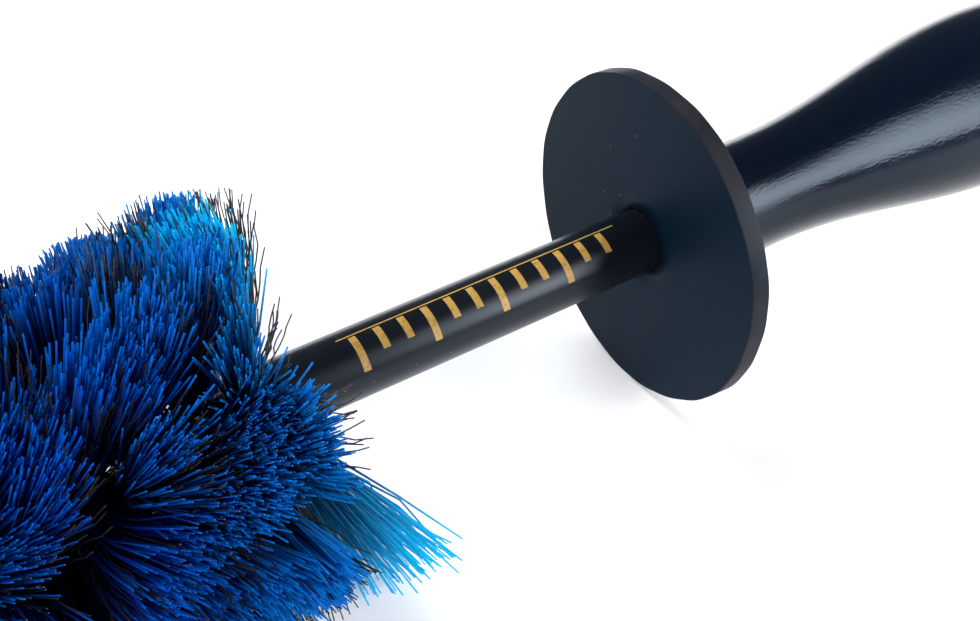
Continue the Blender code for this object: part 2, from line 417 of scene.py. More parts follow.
def add_node(tree, kind, inputs=None, **settings):
    """A node with its settings made and its inputs set or linked, by name or by index."""
    node = tree.nodes.new(kind)
    for key, value in settings.items():
        setattr(node, key, value)
    for key, value in (inputs or {}).items():
        socket = node.inputs[key]
        if isinstance(value, bpy.types.NodeSocket):
            tree.links.new(value, socket)
        else:
            socket.default_value = value
    return node


def maths(tree, operation, *values):
    return add_node(tree, "ShaderNodeMath", dict(enumerate(values)), operation=operation).outputs[0]


def ramp(tree, value, low, high):
    """0 below low, 1 above high."""
    return add_node(
        tree, "ShaderNodeMapRange", {"Value": value, "From Min": low, "From Max": high}
    ).outputs[0]


def between(tree, value, low, high):
    """A value from 0 to 1, spread between two others."""
    return add_node(tree, "ShaderNodeMapRange", {"Value": value, "To Min": low, "To Max": high}).outputs[0]


# Materials


def new_material(name, constants=None):
    """A material with its tree and shader, and the values that are the same all over it."""
    material = bpy.data.materials.new(name)
    material.use_nodes = True
    tree = material.node_tree
    shader = tree.nodes["Principled BSDF"]
    for socket, value in (constants or {}).items():
        shader.inputs[socket].default_value = value
    return material, tree, shader


def dress(tree, shader, base, roughness=None, height=None, strength=1.0, distance=1.0):
    """Links a colour, a roughness and a relief to a shader."""
    tree.links.new(base, shader.inputs["Base Color"])
    if roughness is not None:
        tree.links.new(roughness, shader.inputs["Roughness"])
    if height is not None:
        relief = {"Strength": strength, "Distance": distance, "Height": height}
        tree.links.new(add_node(tree, "ShaderNodeBump", relief).outputs[0], shader.inputs["Normal"])


def mixed(tree, factor, a, b, blend="MIX"):
    """A colour mix; a and b are colours or sockets."""
    node = add_node(tree, "ShaderNodeMix", data_type="RGBA", blend_type=blend)
    for socket, value in ((node.inputs[0], factor), (node.inputs[6], a), (node.inputs[7], b)):
        if isinstance(value, bpy.types.NodeSocket):
            tree.links.new(value, socket)
        elif socket.type == "RGBA":
            socket.default_value = (*tuple(value)[:3], 1.0)
        else:
            socket.default_value = value
    return node.outputs[2]


def times(colour, factor):
    return tuple(factor * part for part in colour)


def along_brush(tree, stretch=1.0):
    """Object coordinates turned to the brush's axis and scaled along it."""
    place = add_node(tree, "ShaderNodeTexCoord").outputs["Object"]
    turned = {"Vector": place, "Rotation": (0.0, -DIP, 0.0), "Scale": (stretch, 1.0, 1.0)}
    return add_node(tree, "ShaderNodeMapping", turned).outputs[0]


def noise(tree, place, scale, detail, **more):
    inputs = {"Vector": place, "Scale": scale, "Detail": detail, **more}
    return add_node(tree, "ShaderNodeTexNoise", inputs).outputs["Fac"]


def attribute(tree, name):
    return add_node(tree, "ShaderNodeAttribute", attribute_name=name).outputs["Fac"]


def specks_group():
    """Dust: pale specks in a share of the cells of a fine pattern, as a mask."""
    group = bpy.data.node_groups.get("Dust Specks")
    if group is not None:
        return group
    speck_radius = 0.16
    group = bpy.data.node_groups.new("Dust Specks", "ShaderNodeTree")
    sockets = group.interface
    sockets.new_socket("Vector", in_out="INPUT", socket_type="NodeSocketVector")
    sockets.new_socket("Scale", in_out="INPUT", socket_type="NodeSocketFloat").default_value = 400.0
    sockets.new_socket("Share", in_out="INPUT", socket_type="NodeSocketFloat").default_value = 0.04
    sockets.new_socket("Mask", in_out="OUTPUT", socket_type="NodeSocketFloat")
    given = group.nodes.new("NodeGroupInput").outputs
    leave = group.nodes.new("NodeGroupOutput")
    cells = add_node(group, "ShaderNodeTexVoronoi", {"Vector": given["Vector"], "Scale": given["Scale"]})
    near = maths(group, "LESS_THAN", cells.outputs["Distance"], speck_radius)
    pick = add_node(group, "ShaderNodeSeparateColor", {0: cells.outputs["Color"]}).outputs[0]
    chosen = maths(group, "LESS_THAN", pick, given["Share"])
    group.links.new(maths(group, "MULTIPLY", near, chosen), leave.inputs[0])
    return group


def dusty(tree, base, place, scale, share, tone):
    """A colour with specks of dust on it."""
    node = tree.nodes.new("ShaderNodeGroup")
    node.node_tree = specks_group()
    tree.links.new(place, node.inputs["Vector"])
    node.inputs["Scale"].default_value = scale
    node.inputs["Share"].default_value = share
    return mixed(tree, node.outputs["Mask"], base, tone)


def lacquer_material(colours):
    """Black gloss lacquer over turned wood: grain shows through as long ripples, with fine orange peel."""
    constants = {"Specular IOR Level": 0.26, "Specular Tint": (0.62, 0.81, 1.0, 1.0)}
    material, tree, shader = new_material("black_lacquer", constants)
    grain = noise(tree, along_brush(tree, 0.12), scale=420.0, detail=3.0, Roughness=0.6)
    peel = noise(tree, along_brush(tree, 0.35), scale=1900.0, detail=2.0)
    height = maths(tree, "ADD", maths(tree, "MULTIPLY", grain, 0.6), maths(tree, "MULTIPLY", peel, 0.6))
    base = mixed(tree, grain, colours.lacquer, times(colours.lacquer, 2.0))
    base = dusty(tree, base, along_brush(tree), scale=1200.0, share=0.008, tone=(0.040, 0.045, 0.050))
    roughness = between(tree, grain, 0.12, 0.24)
    dress(tree, shader, base, roughness, height=height, strength=0.8, distance=0.00010)
    return material


def rubber_material(colours):
    """Matte sheet rubber: fine grain, dust, and a paler brown rim where the disc was cut out."""
    constants = {"Specular IOR Level": 0.08, "Specular Tint": (0.30, 0.64, 1.0, 1.0)}
    material, tree, shader = new_material("black_rubber", constants)
    place = along_brush(tree)
    fine = noise(tree, place, scale=1800.0, detail=3.0)
    cloud = noise(tree, place, scale=60.0, detail=4.0)
    worn = maths(tree, "MULTIPLY", attribute(tree, "rim"), ramp(tree, cloud, 0.25, 0.55))
    face = mixed(tree, cloud, times(colours.rubber, 0.85), times(colours.rubber, 1.2))
    edged = mixed(tree, worn, face, colours.rubber_edge)
    base = dusty(tree, edged, place, scale=620.0, share=0.02, tone=(0.048, 0.054, 0.062))
    height = maths(tree, "ADD", fine, maths(tree, "MULTIPLY", cloud, 0.6))
    roughness = between(tree, fine, 0.38, 0.50)
    dress(tree, shader, base, roughness, height=height, strength=0.25, distance=0.00006)
    return material


def vinyl_material(colours):
    """Semi-gloss black vinyl, drawn lengthwise, with faint draw lines and dust."""
    constants = {"Specular IOR Level": 0.40, "Specular Tint": (0.75, 0.87, 1.0, 1.0)}
    material, tree, shader = new_material("black_vinyl", constants)
    place = along_brush(tree)
    lines = noise(tree, along_brush(tree, 0.02), scale=900.0, detail=2.0)
    cloud = noise(tree, place, scale=120.0, detail=3.0)
    base = mixed(tree, cloud, times(colours.vinyl, 0.8), times(colours.vinyl, 1.3))
    base = dusty(tree, base, place, scale=700.0, share=0.02, tone=(0.050, 0.055, 0.062))
    roughness = between(tree, lines, 0.24, 0.36)
    dress(tree, shader, base, roughness, height=lines, strength=0.12, distance=0.00005)
    return material


def gold_material(colours):
    """Gold ink, thin enough to let the vinyl show in places."""
    material, tree, shader = new_material("gold_ink")
    wear = noise(tree, along_brush(tree), scale=1400.0, detail=3.0)
    base = mixed(tree, ramp(tree, wear, 0.30, 0.50), times(colours.gold, 0.62), colours.gold)
    dress(tree, shader, base, between(tree, wear, 0.35, 0.55))
    return material


def blue_material(colours):
    """Blue filament: darker at the core as painted shade and paler to the tip as painted backlight, where
    light from behind also comes through it.
    """
    material, tree, shader = new_material("blue_filament", {"Specular IOR Level": 0.25})
    along, shade, airy = (attribute(tree, name) for name in ("along", "shade", "airy"))
    tip_curve, lone_clearer = 2.6, 0.3
    paler = maths(tree, "POWER", ramp(tree, along, 0.2, 1.0), tip_curve)
    lone_and_painted_backlight = maths(tree, "MULTIPLY", airy, ramp(tree, along, 0.3, 0.9))
    # Painted shade and painted backlight: the colour darkens towards the core and pales towards the tip
    base = mixed(tree, paler, colours.blue_root_painted_shade, colours.blue_tip)
    # Painted backlight: filaments at the stem's end of the head are turned pale cyan, standing in for light
    # from behind coming through them
    base = mixed(tree, lone_and_painted_backlight, base, colours.blue_painted_backlight)
    tone = mixed(tree, shade, (0.45, 0.45, 0.55), (1.25, 1.25, 1.15))
    base = mixed(tree, 1.0, base, tone, "MULTIPLY")
    dress(tree, shader, base, between(tree, shade, 0.28, 0.5))
    scattered = mixed(tree, lone_and_painted_backlight, colours.blue_glow, colours.lone_glow)
    glow = add_node(tree, "ShaderNodeBsdfTranslucent", {"Color": scattered})
    share = maths(tree, "MULTIPLY_ADD", lone_and_painted_backlight, lone_clearer, between(tree, paler, 0.1, 0.58))
    body = add_node(tree, "ShaderNodeMixShader", {0: share, 1: shader.outputs[0], 2: glow.outputs[0]})
    tree.links.new(body.outputs[0], tree.nodes["Material Output"].inputs["Surface"])
    return material


def black_material(colours):
    """Crimped black filament, a little paler towards the tip."""
    material, tree, shader = new_material("black_filament")
    shade = attribute(tree, "shade")
    paler = maths(tree, "MULTIPLY", attribute(tree, "along"), shade)
    base = mixed(tree, paler, colours.black, times(colours.black, 2.2))
    dress(tree, shader, base, between(tree, shade, 0.30, 0.5))
    return material


def wire_material():
    """Drawn steel wire with lengthwise lines and dull patches."""
    material, tree, shader = new_material("steel_wire", {"Metallic": 1.0})
    lines = noise(tree, along_brush(tree, 0.1), scale=800.0, detail=3.0)
    base = mixed(tree, lines, (0.05, 0.05, 0.052), (0.14, 0.14, 0.145))
    dress(tree, shader, base, between(tree, lines, 0.45, 0.65))
    return material


def resin_material():
    """Set resin, amber, with darker streaks."""
    material, tree, shader = new_material("set_resin", {"Roughness": 0.25})
    cloud = noise(tree, along_brush(tree), scale=220.0, detail=3.0)
    dress(tree, shader, mixed(tree, cloud, (0.30, 0.20, 0.08), (0.58, 0.45, 0.24)))
    return material


def cap_material():
    """Dipped soft vinyl on the looped end of the wire."""
    material, tree, shader = new_material("cap_vinyl")
    cloud = noise(tree, along_brush(tree), scale=300.0, detail=3.0)
    base = mixed(tree, cloud, (0.010, 0.010, 0.012), (0.028, 0.028, 0.032))
    roughness = between(tree, cloud, 0.40, 0.60)
    dress(tree, shader, base, roughness, height=cloud, strength=0.2, distance=0.0001)
    return material


# Filaments

FILAMENT_INPUTS = {
    "NodeSocketInt": ("Count", "Seed", "Points"),
    "NodeSocketFloat": (
        *("Low", "Length", "Pitch", "Twist Start", "Head Back", "Head Front", "Root Radius", "Reach"),
        *("Trim Spread", "Thickness", "Tip Width", "Bearing Spread", "Lean Spread"),
        *("Tuft Length", "Tuft Spread", "Tuft Lean", "Clump", "Layer Lean", "Tip Lean", "Tip Lean Length"),
        *("Low Edge Spread", "High Edge Spread", "Low Edge Lean", "High Edge Lean", "Crest Lean"),
        *("Hold", "Low Edge Hold", "Stray Lean", "Stem Lean Length", "Guard Room"),
        *("Fringe Length", "Fringe Turn", "Fringe Start", "Fringe End"),
        *("Bow", "Tuft Bow", "Comb Round", "Comb Along", "Crimp Height", "Crimp Length", "Dip"),
    ),
    "NodeSocketVector": ("Place",),
    "NodeSocketMaterial": ("Material",),
}

# Share of the filaments that stray from the fringe, and the range over which the fringe fans out
STRAY_SHARE = 0.012
FRINGE_FAN = (0.45, 1.2)
# How near the stem (0 to 1) the crest's lean sets in and is full, and likewise its painted backlight, a
# paler blue put into its colour
CREST_RISE = (0.72, 0.95)
CREST_PALE = (0.5, 0.88)
# Shares of scatter and of combing that are lost right at the stem, and combing from tuft to tuft
FRINGE_CALM = 0.75
COMB_CALM = 0.95
COMB_RANGE = (0.3, 1.7)
# How deep into the head, in metres, filaments still stand a little apart, and by what share; this share
# also paints their colour paler as painted backlight
PALE_DEPTH = 0.034
PALE_SHARE = 0.3
# Length over which tips bend away from the guard
GUARD_EASE = 0.004
# Where along a filament its crimp is full and its taper sets in
CRIMP_FULL = 0.25
TAPER_START = 0.5
FILAMENT_SIDES = 3


class FilamentTree:
    """Node tree of filaments out of both edges of the twisted core, in tufts, over one turn of the head."""

    name = "Twisted Filaments"
    draft_attributes = ("sideways", "tuft_sideways", "comb", "reach", "phase")

    def __init__(self):
        self.tree = bpy.data.node_groups.new(self.name, "GeometryNodeTree")
        sockets = self.tree.interface
        sockets.new_socket("Geometry", in_out="INPUT", socket_type="NodeSocketGeometry")
        for kind, names in FILAMENT_INPUTS.items():
            for name in names:
                sockets.new_socket(name, in_out="INPUT", socket_type=kind)
        sockets.new_socket("Geometry", in_out="OUTPUT", socket_type="NodeSocketGeometry")
        self.given = self.tree.nodes.new("NodeGroupInput").outputs
        self.index = self.node("GeometryNodeInputIndex")
        self.stand()
        self.point()
        mesh = self.skin(self.bend(self.grow()))
        self.tree.links.new(mesh, self.tree.nodes.new("NodeGroupOutput").inputs[0])

    def node(self, kind, inputs=None, **settings):
        return add_node(self.tree, kind, inputs, **settings).outputs[0]

    def calc(self, operation, *values):
        return maths(self.tree, operation, *values)

    def xyz(self, x, y, z):
        return self.node("ShaderNodeCombineXYZ", {0: x, 1: y, 2: z})

    def scaled(self, vector, scale):
        return self.node("ShaderNodeVectorMath", {0: vector, "Scale": scale}, operation="SCALE")

    def plus(self, a, b):
        return self.node("ShaderNodeVectorMath", {0: a, 1: b}, operation="ADD")

    def around(self, radius, bearing, height):
        """A place at a radius, bearing and height about the core."""
        x = self.calc("MULTIPLY", radius, self.calc("COSINE", bearing))
        y = self.calc("MULTIPLY", radius, self.calc("SINE", bearing))
        return self.xyz(x, y, height)

    def store(self, geometry, name, kind, value):
        inputs = {"Geometry": geometry, "Name": name, "Value": value}
        return self.node("GeometryNodeStoreNamedAttribute", inputs, data_type=kind, domain="POINT")

    def stored(self, name, kind="FLOAT"):
        return self.node("GeometryNodeInputNamedAttribute", {"Name": name}, data_type=kind)

    def drawn(self, seed, salt, key, low, high):
        """One even random number for each key."""
        inputs = {"ID": key, "Seed": self.calc("ADD", seed, float(salt)), 2: low, 3: high}
        return add_node(self.tree, "FunctionNodeRandomValue", inputs, data_type="FLOAT").outputs[1]

    def own(self, salt, low=0.0, high=1.0):
        """A random number of each filament's own."""
        return self.drawn(self.given["Seed"], salt, self.index, low, high)

    def own_centred(self, salt):
        """The same round 0, more often small than large, between -1 and 1."""
        return self.calc("ADD", self.own(salt, -0.5, 0.5), self.own(salt + 1, -0.5, 0.5))

    def tufted(self, salt, low=0.0, high=1.0):
        """A random number that the filaments of a tuft share."""
        return self.drawn(0.0, salt, self.tuft_key, low, high)

    def square_to(self, direction, key, seed):
        """A random direction at right angles to the given one."""
        inputs = {"ID": key, "Seed": seed, 0: (-1.0, -1.0, -1.0), 1: (1.0, 1.0, 1.0)}
        wander = self.node("FunctionNodeRandomValue", inputs, data_type="FLOAT_VECTOR")
        square = self.node("ShaderNodeVectorMath", {0: direction, 1: wander}, operation="CROSS_PRODUCT")
        return self.node("ShaderNodeVectorMath", {0: square}, operation="NORMALIZE")

    def stand(self):
        """Where on the core each filament stands, its tuft, and which of the two edges it leaves by."""
        calc, given = self.calc, self.given
        self.height = calc("MULTIPLY_ADD", self.own(1), given["Length"], given["Low"])
        self.edge = calc("ROUND", self.own(2))
        self.side = calc("MULTIPLY_ADD", self.edge, 2.0, -1.0)
        self.depth = calc("SUBTRACT", given["Head Back"], self.height)
        tuft = calc("FLOOR", calc("DIVIDE", self.depth, given["Tuft Length"]))
        self.tuft_key = calc("MULTIPLY_ADD", tuft, 2.0, self.edge)
        tuft_depth = calc("MULTIPLY", calc("ADD", tuft, 0.5), given["Tuft Length"])
        to_tuft = calc("SUBTRACT", tuft_depth, self.depth)
        self.clumped = calc("MULTIPLY_ADD", to_tuft, given["Clump"], self.depth)
        self.root = self.around(given["Root Radius"], self.edge_bearing(self.depth), self.height)

        # Nearness to the stem, from 1 at the head's back to 0, in all and for the low edge alone
        from_back = calc("DIVIDE", self.depth, given["Stem Lean Length"])
        self.backwards = calc("MAXIMUM", calc("SUBTRACT", 1.0, from_back), 0.0)
        self.near_stem = calc("SQRT", self.backwards)
        self.low_edge = calc("MULTIPLY", self.backwards, calc("SUBTRACT", 1.0, self.edge))

    def edge_bearing(self, depth):
        """Which way the filaments' edge of the core faces at a depth into the head."""
        start = self.calc("MULTIPLY_ADD", self.side, math.pi / 2, self.given["Twist Start"])
        turns = self.calc("DIVIDE", depth, self.given["Pitch"])
        return self.calc("MULTIPLY_ADD", turns, 2 * math.pi, start)

    def point(self):
        """Which way each filament points, how it is combed, and how long it is."""
        calc, given = self.calc, self.given
        bearing = self.bearing()
        self.fringe = ramp(self.tree, bearing, given["Fringe Start"], given["Fringe End"])
        lean = self.lean()
        level = calc("COSINE", lean)
        self.direction = self.around(level, bearing, calc("SINE", lean))

        # Combing lies round the core and along it, and shortens the reach as it bends the filament over
        round_core = calc("MULTIPLY", given["Comb Round"], -1.0)
        comb = self.xyz(
            calc("MULTIPLY", calc("SINE", bearing), round_core),
            calc("MULTIPLY", calc("COSINE", bearing), given["Comb Round"]),
            given["Comb Along"],
        )
        combing = calc("MULTIPLY_ADD", self.near_stem, -COMB_CALM, 1.0)
        self.comb = self.scaled(comb, calc("MULTIPLY", combing, self.tufted(16, *COMB_RANGE)))
        bent = add_node(
            self.tree, "ShaderNodeVectorMath", {0: self.comb, 1: self.comb}, operation="DOT_PRODUCT"
        ).outputs["Value"]
        shortening = calc("INVERSE_SQRT", calc("ADD", bent, 1.0))

        # The fringe's filaments are longer, and all are trimmed a little unevenly
        slant = calc("SUBTRACT", calc("DIVIDE", 1.0, level), 1.0)
        longer = calc("MULTIPLY_ADD", self.fringe, given["Fringe Length"], slant)
        full = calc("SUBTRACT", given["Reach"], given["Root Radius"])
        full = calc("MULTIPLY", full, calc("MULTIPLY_ADD", longer, self.low_edge, 1.0))
        own_trim = calc("MULTIPLY", self.own(11), given["Trim Spread"])
        tuft_trim = calc("MULTIPLY", self.tufted(12), given["Trim Spread"])
        trimmed = calc("SUBTRACT", full, calc("ADD", own_trim, tuft_trim))
        self.reach = calc("MULTIPLY", trimmed, shortening)

    def bearing(self):
        """The bearing of each filament about the core."""
        calc, given = self.calc, self.given
        high_edge = calc("MULTIPLY", self.backwards, self.edge)
        spread = calc("MULTIPLY", self.low_edge, given["Low Edge Spread"])
        spread = calc("MULTIPLY_ADD", high_edge, given["High Edge Spread"], spread)
        spread = calc("ADD", spread, given["Bearing Spread"])
        own_turn = calc("MULTIPLY", self.own_centred(3), spread)
        tuft_turn = calc("MULTIPLY", self.tufted(5, -1.0, 1.0), given["Tuft Spread"])
        bearing = calc("ADD", self.edge_bearing(self.clumped), calc("ADD", own_turn, tuft_turn))
        return calc("MULTIPLY_ADD", self.low_edge, given["Fringe Turn"], bearing)

    def lean(self):
        """How far each filament leans towards the stem: splayed at the head's two ends, with scatter."""
        calc, given = self.calc, self.given
        astray = calc("GREATER_THAN", self.own(17), 1 - STRAY_SHARE)
        fanned = calc("MULTIPLY", given["Low Edge Lean"], self.own(18, *FRINGE_FAN))
        fringe_lean = calc("MULTIPLY_ADD", astray, given["Stray Lean"], fanned)
        low_lean = calc("MULTIPLY", self.low_edge, calc("MULTIPLY", self.fringe, fringe_lean))
        crest = calc("MULTIPLY", ramp(self.tree, self.backwards, *CREST_RISE), given["Crest Lean"])
        high_lean = calc("ADD", calc("MULTIPLY", self.near_stem, given["High Edge Lean"]), crest)
        high_lean = calc("MULTIPLY", high_lean, self.edge)
        from_front = calc("SUBTRACT", self.height, given["Head Front"])
        from_front = calc("DIVIDE", from_front, given["Tip Lean Length"])
        forwards = calc("MAXIMUM", calc("SUBTRACT", 1.0, from_front), 0.0)
        tip_lean = calc("MULTIPLY", forwards, given["Tip Lean"])
        splay = calc("SUBTRACT", calc("ADD", low_lean, high_lean), tip_lean)
        calm = calc("MULTIPLY_ADD", self.low_edge, -FRINGE_CALM, 1.0)
        return calc("MULTIPLY_ADD", self.scatter(), calm, splay)

    def scatter(self):
        """The scatter of the leans, which Hold turns inwards near the stem."""
        calc, given = self.calc, self.given
        own_lean = calc("MULTIPLY", self.own_centred(7), given["Lean Spread"])
        tuft_lean = calc("MULTIPLY", self.tufted(9, -1.0, 1.0), given["Tuft Lean"])
        layer_lean = calc("MULTIPLY", self.side, given["Layer Lean"])
        wander = calc("ADD", calc("ADD", own_lean, tuft_lean), layer_lean)
        inwards = calc("MULTIPLY", calc("ABSOLUTE", wander), -1.0)
        holding = calc("MULTIPLY", calc("MAXIMUM", self.edge, given["Low Edge Hold"]), given["Hold"])
        held = calc("MULTIPLY", self.near_stem, holding)
        return calc("MULTIPLY_ADD", calc("SUBTRACT", inwards, wander), held, wander)

    def airy(self):
        """How far each filament stands apart from the rest, so that light comes through it; the same share
        paints a paler cyan into the blue filaments' colour as painted backlight.
        """
        calc = self.calc
        at_crest = calc("MULTIPLY", ramp(self.tree, self.backwards, *CREST_PALE), self.edge)
        at_fringe = calc("MULTIPLY", calc("SQRT", self.low_edge), self.fringe)
        paling = calc("SUBTRACT", 1.0, ramp(self.tree, self.depth, 0.0, PALE_DEPTH))
        return calc("MAXIMUM", calc("ADD", at_crest, at_fringe), calc("MULTIPLY", paling, PALE_SHARE))

    def grow(self):
        """One straight curve for each filament, with the facts that it keeps."""
        calc, given = self.calc, self.given
        shade = calc("MULTIPLY_ADD", self.own(13), 0.5, calc("MULTIPLY", self.tufted(14), 0.5))
        full_turn = 6.2832
        facts = (
            ("sideways", "FLOAT_VECTOR", self.square_to(self.direction, self.index, given["Seed"])),
            ("tuft_sideways", "FLOAT_VECTOR", self.square_to(self.direction, self.tuft_key, 0)),
            ("comb", "FLOAT_VECTOR", self.comb),
            ("shade", "FLOAT", shade),
            ("airy", "FLOAT", self.airy()),
            ("reach", "FLOAT", self.reach),
            ("phase", "FLOAT", self.own(15, 0.0, full_turn)),
        )
        points = self.node("GeometryNodePoints", {"Count": given["Count"], "Position": self.root})
        for name, kind, value in facts:
            points = self.store(points, name, kind, value)
        line = self.node("GeometryNodeCurvePrimitiveLine", {"Start": (0, 0, 0), "End": (0, 0, 1)})
        line = self.node("GeometryNodeResampleCurve", {"Curve": line, "Count": given["Points"]})
        facing = self.node("FunctionNodeAlignRotationToVector", {"Vector": self.direction}, axis="Z")
        size = self.xyz(1.0, 1.0, self.reach)
        curves = self.node(
            "GeometryNodeInstanceOnPoints",
            {"Points": points, "Instance": line, "Rotation": facing, "Scale": size},
        )
        return self.node("GeometryNodeRealizeInstances", {"Geometry": curves})

    def along(self):
        """From 0 at a filament's root to 1 at its tip."""
        return add_node(self.tree, "GeometryNodeSplineParameter").outputs["Factor"]

    def bend(self, curves):
        """Bow, crimp and combing, then room for the guard and the floor that the brush lies on."""
        calc, given, along = self.calc, self.given, self.along()
        phase = self.stored("phase")
        run = calc("MULTIPLY", along, self.stored("reach"))
        bend = calc("MULTIPLY", run, along)
        wave = calc("MULTIPLY_ADD", calc("DIVIDE", run, given["Crimp Length"]), 2 * math.pi, phase)
        started = calc("MINIMUM", calc("MULTIPLY", along, 1 / CRIMP_FULL), 1.0)
        crimp = calc("MULTIPLY", calc("MULTIPLY", calc("SINE", wave), given["Crimp Height"]), started)
        bow = calc("MULTIPLY", calc("MULTIPLY", bend, given["Bow"]), calc("SINE", phase))
        own_offset = self.scaled(self.stored("sideways", "FLOAT_VECTOR"), calc("ADD", crimp, bow))
        tuft_bow = calc("MULTIPLY", bend, given["Tuft Bow"])
        tuft_offset = self.scaled(self.stored("tuft_sideways", "FLOAT_VECTOR"), tuft_bow)
        combed = self.scaled(self.stored("comb", "FLOAT_VECTOR"), bend)
        offset = self.plus(own_offset, self.plus(tuft_offset, combed))
        curves = self.node("GeometryNodeSetPosition", {"Geometry": curves, "Offset": offset})

        # Tips that the guard would meet at the end of its slide bend away from it
        room = calc("ADD", given["Head Back"], given["Guard Room"])
        curves = self.limit_height(curves, "SMOOTH_MIN", room, GUARD_EASE)
        tilt = self.xyz(0.0, calc("ADD", given["Dip"], math.pi / 2), 0.0)
        laid = {"Geometry": curves, "Translation": given["Place"], "Rotation": tilt}
        return self.limit_height(self.node("GeometryNodeTransform", laid), "MAXIMUM", given["Thickness"])

    def limit_height(self, curves, operation, *limits):
        """Presses the curves' Z by a minimum or a maximum."""
        place = self.node("GeometryNodeInputPosition")
        x, y, z = add_node(self.tree, "ShaderNodeSeparateXYZ", {0: place}).outputs
        pressed = self.xyz(x, y, self.calc(operation, z, *limits))
        return self.node("GeometryNodeSetPosition", {"Geometry": curves, "Position": pressed})

    def skin(self, curves):
        """The curves as thin tapering rods with the filaments' material."""
        given, along = self.given, self.along()
        curves = self.store(curves, "along", "FLOAT", along)
        radius = self.calc("MULTIPLY", given["Thickness"], 0.5)
        section = self.node(
            "GeometryNodeCurvePrimitiveCircle", {"Resolution": FILAMENT_SIDES, "Radius": radius}
        )
        taper = self.node(
            "ShaderNodeMapRange",
            {"Value": along, "From Min": TAPER_START, "To Min": 1.0, "To Max": given["Tip Width"]},
        )
        mesh = self.node(
            "GeometryNodeCurveToMesh",
            {"Curve": curves, "Profile Curve": section, "Scale": taper, "Fill Caps": True},
        )
        for name in self.draft_attributes:
            mesh = self.node("GeometryNodeRemoveAttribute", {"Geometry": mesh, "Name": name})
        mesh = self.node("GeometryNodeSetShadeSmooth", {"Geometry": mesh, "Shade Smooth": True})
        mesh = self.node("GeometryNodeRealizeInstances", {"Geometry": mesh})
        return self.node("GeometryNodeSetMaterial", {"Geometry": mesh, "Material": given["Material"]})


def grow_filaments(name, material, values):
    """A piece made by the filament tree with these inputs, as a plain mesh."""
    tree = bpy.data.node_groups.get(FilamentTree.name) or FilamentTree().tree
    obj = add_piece(name, bpy.data.meshes.new(name))
    modifier = obj.modifiers.new("Filaments", "NODES")
    modifier.node_group = tree
    sockets = {item.name: item.identifier for item in tree.interface.items_tree if item.in_out == "INPUT"}
    for key, value in values.items():
        modifier[sockets[key]] = value
    modifier[sockets["Material"]] = material
    return plain_piece(obj)


def head_values(sizes, turn):
    """The inputs that both colours of filament share, for one turn of the core."""
    pitch = sizes.twist_pitch
    return {
        "Low": HEAD_BACK - (turn + 1) * pitch,
        "Length": pitch,
        "Pitch": pitch,
        "Twist Start": radians(33),
        "Head Back": HEAD_BACK,
        "Head Front": HEAD_BACK - HEAD_TURNS * pitch,
        "Root Radius": 0.0022,
        "Reach": sizes.head_radius,
        "Tuft Length": sizes.tuft_length,
        "Tip Lean": radians(40),
        "Tip Lean Length": 0.032,
        "Stem Lean Length": 0.012,
        "Fringe Turn": radians(22),
        "Fringe Start": radians(-114),
        "Fringe End": radians(-74),
        "Stray Lean": radians(11),
        "Fringe Length": 0.13,
        "Guard Room": 0.0190,
        "Place": tuple(FRONT_FACE),
        "Dip": DIP,
    }


def blue_values(sizes):
    """The inputs of the straight blue filaments, which have no crimp."""
    return {
        "Count": sizes.blue_count,
        "Trim Spread": 0.0028,
        "Thickness": sizes.blue_thickness,
        "Tip Width": 0.65,
        "Points": 4,
        "Bearing Spread": radians(11),
        "Lean Spread": radians(14),
        "Tuft Spread": radians(13),
        "Tuft Lean": radians(8),
        "Clump": 0.6,
        "Layer Lean": radians(-4),
        "Low Edge Spread": radians(58),
        "High Edge Spread": radians(25),
        "Low Edge Lean": radians(27),
        "High Edge Lean": radians(3),
        "Crest Lean": radians(7),
        "Hold": 1.0,
        "Low Edge Hold": 0.0,
        "Bow": 0.06,
        "Tuft Bow": 0.12,
        "Comb Round": -0.34,
        "Comb Along": 0.12,
        "Crimp Height": 0.0,
        "Crimp Length": 1.0,
    }


def black_values(sizes):
    """The inputs of the crimped black filaments."""
    return {
        "Count": sizes.black_count,
        "Trim Spread": 0.0018,
        "Thickness": sizes.black_thickness,
        "Tip Width": 0.8,
        "Points": 13,
        "Bearing Spread": radians(14),
        "Lean Spread": radians(13),
        "Tuft Spread": radians(14),
        "Tuft Lean": radians(9),
        "Clump": 0.3,
        "Layer Lean": radians(4),
        "Low Edge Spread": radians(25),
        "High Edge Spread": radians(10),
        "Low Edge Lean": radians(3),
        "High Edge Lean": radians(5),
        "Crest Lean": radians(13),
        "Hold": 0.45,
        "Low Edge Hold": 1.0,
        "Bow": 0.10,
        "Tuft Bow": 0.12,
        "Comb Round": -0.24,
        "Comb Along": 0.05,
        "Crimp Height": sizes.crimp_height,
        "Crimp Length": sizes.crimp_length,
    }


# Seeds are this far apart from turn to turn, and from the blue filaments to the black ones
TURN_SEEDS = 100
BLACK_SEEDS = 50


# Pieces


